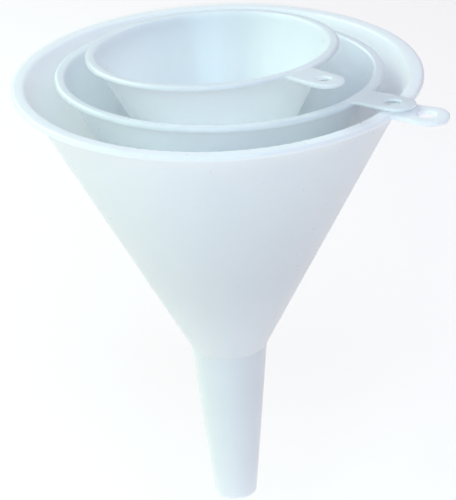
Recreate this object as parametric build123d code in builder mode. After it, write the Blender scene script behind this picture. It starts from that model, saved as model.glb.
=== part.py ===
from build123d import *
from dataclasses import dataclass
from math import acos, atan2, cos, degrees, radians, sin, tan
import os

# Three nested laboratory funnels, each one moulding with a rim, a cone, a stem and a hang tab.
# Millimetres, +Z up. The origin is on the large funnel's axis, at the top of its stem, and +X
# points along its hang tab.

# Shape shared by the whole set
CONE_HALF_ANGLE = 27.4
SET_DIAMETER = 120.0            # rim diameter that the proportions below are given for
STEM_TOP_DIAMETER = 23.2
STEM_TIP_DIAMETER = 13.0
STEM_LENGTH = 52.7

# Edge rounding, the same on all three funnels
RIM_TOP_ROUND = 0.9
RIM_UNDER_ROUND = 0.4
THROAT_ROUND = 2.0
TIP_ROUND = 0.35
TAB_EDGE_ROUND = 0.3
HOLE_EDGE_ROUND = 0.4
TAB_ROOT_ROUND = 2.5
TAB_ROOT_DEPTH = 0.9            # rounded root corners start this far inside the rim's edge
RIM_OVERLAP = 1.0               # and the tab's solid goes on this much further in


@dataclass
class Funnel:
    """Sizes of one funnel: the rim is a band, the tab ends in a round pad with a hole."""

    name: str
    diameter: float
    rim_height: float
    rim_ledge: float            # flat underside of the rim, outside the cone
    bowl_round: float           # rounding from the rim's top into the bowl
    wall: float
    tab_direction: float        # degrees from +X
    tab_rise: float             # from the rim's underside up to the tab's underside
    tab_thickness: float
    tab_root_width: float
    tab_end_radius: float
    tab_end_reach: float        # centre of the round end, outside the rim
    hole_radius: float
    hole_reach: float           # centre of the hole, outside the rim
    rise: float = 0.0           # middle of the rim's top, above the large rim's top
    lean: float = 0.0           # degrees from upright
    lean_towards: float = 0.0   # compass direction of the lean, degrees from +X
    pivot_depth: float = 0.0    # where the leaning axis meets the nest's axis, below the large rim

    @property
    def radius(self):
        return self.diameter / 2

    @property
    def stem_top_radius(self):
        return STEM_TOP_DIAMETER / 2 * self.diameter / SET_DIAMETER

    @property
    def stem_tip_radius(self):
        return STEM_TIP_DIAMETER / 2 * self.diameter / SET_DIAMETER

    @property
    def stem_length(self):
        return STEM_LENGTH * self.diameter / SET_DIAMETER

    @property
    def cone_height(self):
        """From the top of the stem to the underside of the rim."""
        cone_spread = self.radius - self.rim_ledge - self.stem_top_radius
        return cone_spread / tan(radians(CONE_HALF_ANGLE))

    @property
    def rim_top(self):
        return self.cone_height + self.rim_height


LARGE = Funnel(
    name="large_funnel", diameter=120.0, rim_height=1.75, rim_ledge=3.8, bowl_round=1.0, wall=1.0,
    tab_direction=0.0, tab_rise=0.0, tab_thickness=1.5, tab_root_width=9.6,
    tab_end_radius=5.7, tab_end_reach=8.9, hole_radius=2.6, hole_reach=8.2,
)
MEDIUM = Funnel(
    name="medium_funnel", diameter=96.0, rim_height=1.6, rim_ledge=2.7, bowl_round=0.8, wall=0.9,
    tab_direction=-1.5, tab_rise=0.8, tab_thickness=0.9, tab_root_width=10.4,
    tab_end_radius=5.4, tab_end_reach=11.0, hole_radius=2.3, hole_reach=9.6,
    rise=0.92, lean=2.0, lean_towards=99.0, pivot_depth=50.0,
)
SMALL = Funnel(
    name="small_funnel", diameter=74.0, rim_height=1.5, rim_ledge=2.6, bowl_round=0.8, wall=0.9,
    tab_direction=-17.0, tab_rise=0.0, tab_thickness=1.2, tab_root_width=9.8,
    tab_end_radius=4.8, tab_end_reach=11.3, hole_radius=2.0, hole_reach=10.0,
    rise=7.6, lean=3.6, lean_towards=142.5, pivot_depth=45.0,
)


def compass(degrees_from_x):
    """Unit vector in the horizontal plane."""
    return Vector(cos(radians(degrees_from_x)), sin(radians(degrees_from_x)), 0)


def seat_plane(funnel):
    """Plane at the top of a funnel's stem, for a funnel that leans about a point on the nest's axis."""
    lean = radians(funnel.lean)
    axis = compass(funnel.lean_towards) * sin(lean) + Vector(0, 0, 1) * cos(lean)
    pivot = Vector(0, 0, LARGE.rim_top - funnel.pivot_depth)
    rim_from_pivot = (funnel.pivot_depth + funnel.rise) / cos(lean)
    stem_top = pivot + axis * (rim_from_pivot - funnel.rim_top)
    tab_way = compass(funnel.tab_direction)
    return Plane(origin=stem_top, x_dir=tab_way - axis * tab_way.dot(axis), z_dir=axis)


def wall_section(funnel):
    """Half section of the moulding: each corner, x the radius and y the height, with its rounding."""
    slope = tan(radians(CONE_HALF_ANGLE))
    stem_slope = (funnel.stem_top_radius - funnel.stem_tip_radius) / funnel.stem_length
    cone_wall = funnel.wall / cos(radians(CONE_HALF_ANGLE))
    throat_height = (cone_wall - funnel.wall) / (slope - stem_slope)
    throat_radius = funnel.stem_top_radius + throat_height * stem_slope - funnel.wall
    bowl_radius = funnel.stem_top_radius + funnel.rim_top * slope - cone_wall
    return [
        ((funnel.stem_tip_radius, -funnel.stem_length), TIP_ROUND),
        ((funnel.stem_top_radius, 0), 0),
        ((funnel.radius - funnel.rim_ledge, funnel.cone_height), 0),
        ((funnel.radius, funnel.cone_height), RIM_UNDER_ROUND),
        ((funnel.radius, funnel.rim_top), RIM_TOP_ROUND),
        ((bowl_radius, funnel.rim_top), funnel.bowl_round),
        ((throat_radius, throat_height), THROAT_ROUND),
        ((funnel.stem_tip_radius - funnel.wall, -funnel.stem_length), TIP_ROUND),
    ]


def across(point):
    """The same point on the other side of the tab."""
    return Vector(point.X, -point.Y)


def make_funnel(funnel):
    """One moulding, made upright with its tab along X and then set on its seat plane."""
    tab_underside = Plane.XY.offset(funnel.cone_height + funnel.tab_rise)
    section_corners = wall_section(funnel)
    root_radius = funnel.radius - TAB_ROOT_DEPTH

    # Where the tab's straight side leaves the rim and where it runs into the round end
    tab_centre = funnel.radius + funnel.tab_end_reach
    root_side = Vector(root_radius - RIM_OVERLAP, funnel.tab_root_width / 2)
    run_in = root_side - Vector(tab_centre, 0)
    run_in_angle = atan2(run_in.Y, run_in.X) - acos(funnel.tab_end_radius / run_in.length)
    end_side = Vector(tab_centre, 0) + compass(degrees(run_in_angle)) * funnel.tab_end_radius

    with BuildPart() as moulding:
        # Hang tab: straight sides from the rim to a round end, with a hole through it
        with BuildSketch(tab_underside) as tab_outline:
            Circle(root_radius)
            with BuildLine():
                Polyline(root_side, end_side)
                ThreePointArc(end_side, (tab_centre + funnel.tab_end_radius, 0), across(end_side))
                Polyline(across(end_side), across(root_side), root_side)
            make_face()
            root_corners = tab_outline.vertices().filter_by_position(
                Axis.X, 0, funnel.radius).group_by(Axis.X)[-1]
            fillet(root_corners, radius=TAB_ROOT_ROUND)
            Circle(root_radius - RIM_OVERLAP, mode=Mode.SUBTRACT)
            Rectangle(funnel.diameter, 4 * funnel.tab_end_radius, mode=Mode.INTERSECT,
                      align=(Align.MIN, Align.CENTER))
        extrude(amount=funnel.tab_thickness)
        flat_faces = moulding.faces().filter_by(Axis.Z)
        fillet(flat_faces.edges(), radius=TAB_EDGE_ROUND)
        with Locations((funnel.radius + funnel.hole_reach, 0, funnel.rim_top)):
            Hole(radius=funnel.hole_radius)
        hole_rims = moulding.edges().filter_by(GeomType.CIRCLE).filter_by(
            lambda edge: abs(edge.radius - funnel.hole_radius) < HOLE_EDGE_ROUND / 2)
        fillet(hole_rims, radius=HOLE_EDGE_ROUND)

        # Bowl, rim and stem, turned about the funnel's axis
        with BuildSketch(Plane.XZ) as section:
            with BuildLine():
                Polyline([corner for corner, rounding in section_corners], close=True)
            make_face()
            for corner, rounding in section_corners:
                if rounding:
                    fillet(section.vertices().sort_by_distance(corner)[0], radius=rounding)
        revolve(axis=Axis.Z)
    placed = seat_plane(funnel).location * moulding.part
    placed.label = funnel.name
    return placed


os.makedirs("parts", exist_ok=True)
for funnel in (LARGE, MEDIUM, SMALL):
    export_step(make_funnel(funnel), f"parts/{funnel.name}.step")
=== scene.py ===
"""Nested plastic funnels: materials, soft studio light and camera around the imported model."""
import bpy
from math import cos, radians, sin
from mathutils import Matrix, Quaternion, Vector


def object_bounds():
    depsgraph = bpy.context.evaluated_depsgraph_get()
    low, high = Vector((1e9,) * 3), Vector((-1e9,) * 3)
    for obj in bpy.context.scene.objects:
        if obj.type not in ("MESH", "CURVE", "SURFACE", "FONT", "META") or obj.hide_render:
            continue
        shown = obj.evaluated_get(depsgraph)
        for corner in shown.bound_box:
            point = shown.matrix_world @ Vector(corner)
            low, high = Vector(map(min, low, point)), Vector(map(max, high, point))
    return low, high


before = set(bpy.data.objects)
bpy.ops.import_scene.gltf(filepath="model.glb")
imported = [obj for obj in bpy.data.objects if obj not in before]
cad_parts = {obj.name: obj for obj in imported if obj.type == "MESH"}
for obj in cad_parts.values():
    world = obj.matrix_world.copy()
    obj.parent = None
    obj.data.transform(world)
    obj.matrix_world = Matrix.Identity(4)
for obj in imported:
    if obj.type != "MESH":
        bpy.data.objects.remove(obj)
cad_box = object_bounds()

MM = 0.001

# Camera: where it stands round the large funnel's axis, and how it is held
CAMERA_AZIMUTH = -57.73         # degrees from the large hang tab
CAMERA_ELEVATION = 25.8
CAMERA_ROLL = -2.595
CAMERA_DISTANCE = 721.7 * MM
CAMERA_AIM = Vector((0.75, 0.47, 30.94)) * MM
CAMERA_LENS = 172.8             # millimetres
CAMERA_SENSOR = 36              # millimetres, across
CAMERA_FAR = 20                 # metres, beyond the far edge of the floor

# How far light spreads in the plastic: less in the denser looking stem than in the thin cone,
# with a gradual change between two heights on the funnels' axis, in metres
STEM_SCATTER = 1.8 * MM
CONE_SCATTER = 4.0 * MM
STEM_SCATTER_TOP = -0.006
CONE_SCATTER_BOTTOM = 0.03

PLASTIC_SHADES = ((0.952, 0.976, 0.992, 1), (0.967, 0.985, 0.997, 1))
PLASTIC_ROUGHNESS = (0.27, 0.35)
PLASTIC_IOR = 1.49

FLOOR_DROP = 60 * MM            # floor below the large funnel's tip
FLOOR_SIZE = 6.0                # metres
FLOOR_SHADE = (0.96, 0.96, 0.96, 1)
FLOOR_GLOW = (1.0, 0.58, 0.48, 1)       # a little light of its own keeps the backdrop white
FLOOR_GLOW_STRENGTH = 0.21

SOFTBOX_SIZE = 0.7              # metres, each side
GLINT_SIZE = 0.25
LIGHT_DISTANCE = 1.2            # metres from the point that the lights face
LIGHT_AIM = Vector((0, 0, 0.03))


def around(azimuth, elevation, distance):
    """Point at that compass direction, height angle and distance from the origin."""
    flat = cos(radians(elevation)) * distance
    return Vector((flat * cos(radians(azimuth)), flat * sin(radians(azimuth)),
                   sin(radians(elevation)) * distance))


def add_camera():
    data = bpy.data.cameras.new("camera")
    data.lens = CAMERA_LENS
    data.sensor_width = CAMERA_SENSOR
    data.clip_end = CAMERA_FAR
    camera = bpy.data.objects.new("camera", data)
    bpy.context.scene.collection.objects.link(camera)
    camera.location = CAMERA_AIM + around(CAMERA_AZIMUTH, CAMERA_ELEVATION, CAMERA_DISTANCE)
    level = (CAMERA_AIM - camera.location).to_track_quat("-Z", "Y")
    camera.rotation_mode = "QUATERNION"
    camera.rotation_quaternion = level @ Quaternion((0, 0, 1), radians(CAMERA_ROLL))
    bpy.context.scene.camera = camera


def add_softbox(name, azimuth, elevation, watts, colour, size=SOFTBOX_SIZE):
    """Square area light that faces the funnels, at an azimuth counted from the camera.

    A negative azimuth is to the camera's left.
    """
    data = bpy.data.lights.new(name, "AREA")
    data.shape = "SQUARE"
    data.size = size
    data.energy = watts
    data.color = colour
    light = bpy.data.objects.new(name, data)
    bpy.context.scene.collection.objects.link(light)
    light.location = LIGHT_AIM + around(CAMERA_AZIMUTH + azimuth, elevation, LIGHT_DISTANCE)
    light.rotation_mode = "QUATERNION"
    light.rotation_quaternion = (LIGHT_AIM - light.location).to_track_quat("-Z", "Y")


class Nodes:
    """Short way to add and join shader nodes in one material."""

    def __init__(self, tree):
        self.tree = tree

    def add(self, kind, settings=None, **inputs):
        node = self.tree.nodes.new(kind)
        for key, value in (settings or {}).items():
            setattr(node, key, value)
        for key, value in inputs.items():
            socket = node.inputs[key.replace("_", " ")]
            if isinstance(value, bpy.types.NodeSocket):
                self.tree.links.new(value, socket)
            else:
                socket.default_value = value
        return node


def white_plastic():
    """Milky polypropylene: light soaks a few millimetres in; faint clouding, scuffs and grain."""
    material = bpy.data.materials.new("white_polypropylene")
    material.use_nodes = True
    tree = material.node_tree
    shader = tree.nodes["Principled BSDF"]
    nodes = Nodes(tree)
    place = nodes.add("ShaderNodeTexCoord").outputs["Object"]

    clouding = nodes.add("ShaderNodeTexNoise", Vector=place, Scale=45.0, Detail=3.0, Roughness=0.55)
    colour = nodes.add("ShaderNodeValToRGB", Fac=clouding.outputs["Fac"])
    for element, position, shade in zip(colour.color_ramp.elements, (0.3, 0.7), PLASTIC_SHADES):
        element.position = position
        element.color = shade
    tree.links.new(colour.outputs["Color"], shader.inputs["Base Color"])

    scuffs = nodes.add("ShaderNodeTexNoise", Vector=place, Scale=380.0, Detail=4.0, Roughness=0.7)
    gloss = nodes.add("ShaderNodeMapRange", Value=scuffs.outputs["Fac"],
                      From_Min=0.3, From_Max=0.7,
                      To_Min=PLASTIC_ROUGHNESS[0], To_Max=PLASTIC_ROUGHNESS[1])
    tree.links.new(gloss.outputs["Result"], shader.inputs["Roughness"])

    grain = nodes.add("ShaderNodeTexNoise", Vector=place, Scale=1600.0, Detail=2.0, Roughness=0.5)
    bump = nodes.add("ShaderNodeBump", Height=grain.outputs["Fac"], Strength=0.03, Distance=0.0002)
    tree.links.new(bump.outputs["Normal"], shader.inputs["Normal"])

    shader.inputs["IOR"].default_value = PLASTIC_IOR
    shader.inputs["Subsurface Weight"].default_value = 1.0
    shader.inputs["Subsurface Radius"].default_value = (1.0, 1.0, 1.0)
    height = nodes.add("ShaderNodeSeparateXYZ", Vector=place).outputs["Z"]
    depth = nodes.add("ShaderNodeMapRange", Value=height,
                      From_Min=STEM_SCATTER_TOP, From_Max=CONE_SCATTER_BOTTOM,
                      To_Min=STEM_SCATTER, To_Max=CONE_SCATTER)
    tree.links.new(depth.outputs["Result"], shader.inputs["Subsurface Scale"])
    return material


def floor_material():
    material = bpy.data.materials.new("pale_paper")
    material.use_nodes = True
    shader = material.node_tree.nodes["Principled BSDF"]
    shader.inputs["Base Color"].default_value = FLOOR_SHADE
    shader.inputs["Roughness"].default_value = 0.9
    shader.inputs["Emission Color"].default_value = FLOOR_GLOW
    shader.inputs["Emission Strength"].default_value = FLOOR_GLOW_STRENGTH
    return material


def add_floor():
    bpy.ops.mesh.primitive_plane_add(size=FLOOR_SIZE, location=(0, 0, cad_box[0][2] - FLOOR_DROP))
    floor = bpy.context.object
    floor.name = "floor"
    floor.data.materials.append(floor_material())


def add_surroundings(strength, colour):
    world = bpy.data.worlds.new("studio")
    world.use_nodes = True
    background = world.node_tree.nodes["Background"]
    background.inputs["Color"].default_value = (*colour, 1)
    background.inputs["Strength"].default_value = strength
    bpy.context.scene.world = world


plastic = white_plastic()
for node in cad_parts.values():
    for slot in node.material_slots:
        slot.material = plastic

add_camera()
add_floor()
add_surroundings(0.27, (0.72, 0.68, 1.0))
add_softbox("key_left", azimuth=-75, elevation=28, watts=3.3, colour=(0.61, 1.0, 0.60))
add_softbox("front", azimuth=0, elevation=40, watts=6.05, colour=(0.56, 0.86, 1.0))
add_softbox("glint", azimuth=-38, elevation=29, watts=0.85, colour=(0.9, 1.0, 1.0),
            size=GLINT_SIZE)
add_softbox("back_left", azimuth=-130, elevation=40, watts=7.95, colour=(0.80, 1.0, 0.87))
add_softbox("back_right", azimuth=130, elevation=40, watts=2.45, colour=(1.0, 0.95, 0.95))
add_softbox("top", azimuth=0, elevation=88, watts=0.95, colour=(0.95, 0.62, 1.0))

bpy.context.scene.view_settings.view_transform = "Standard"
# Enough bounces for light to pass from wall to wall in the nest
bpy.context.scene.cycles.diffuse_bounces = 10
bpy.context.scene.cycles.max_bounces = 16
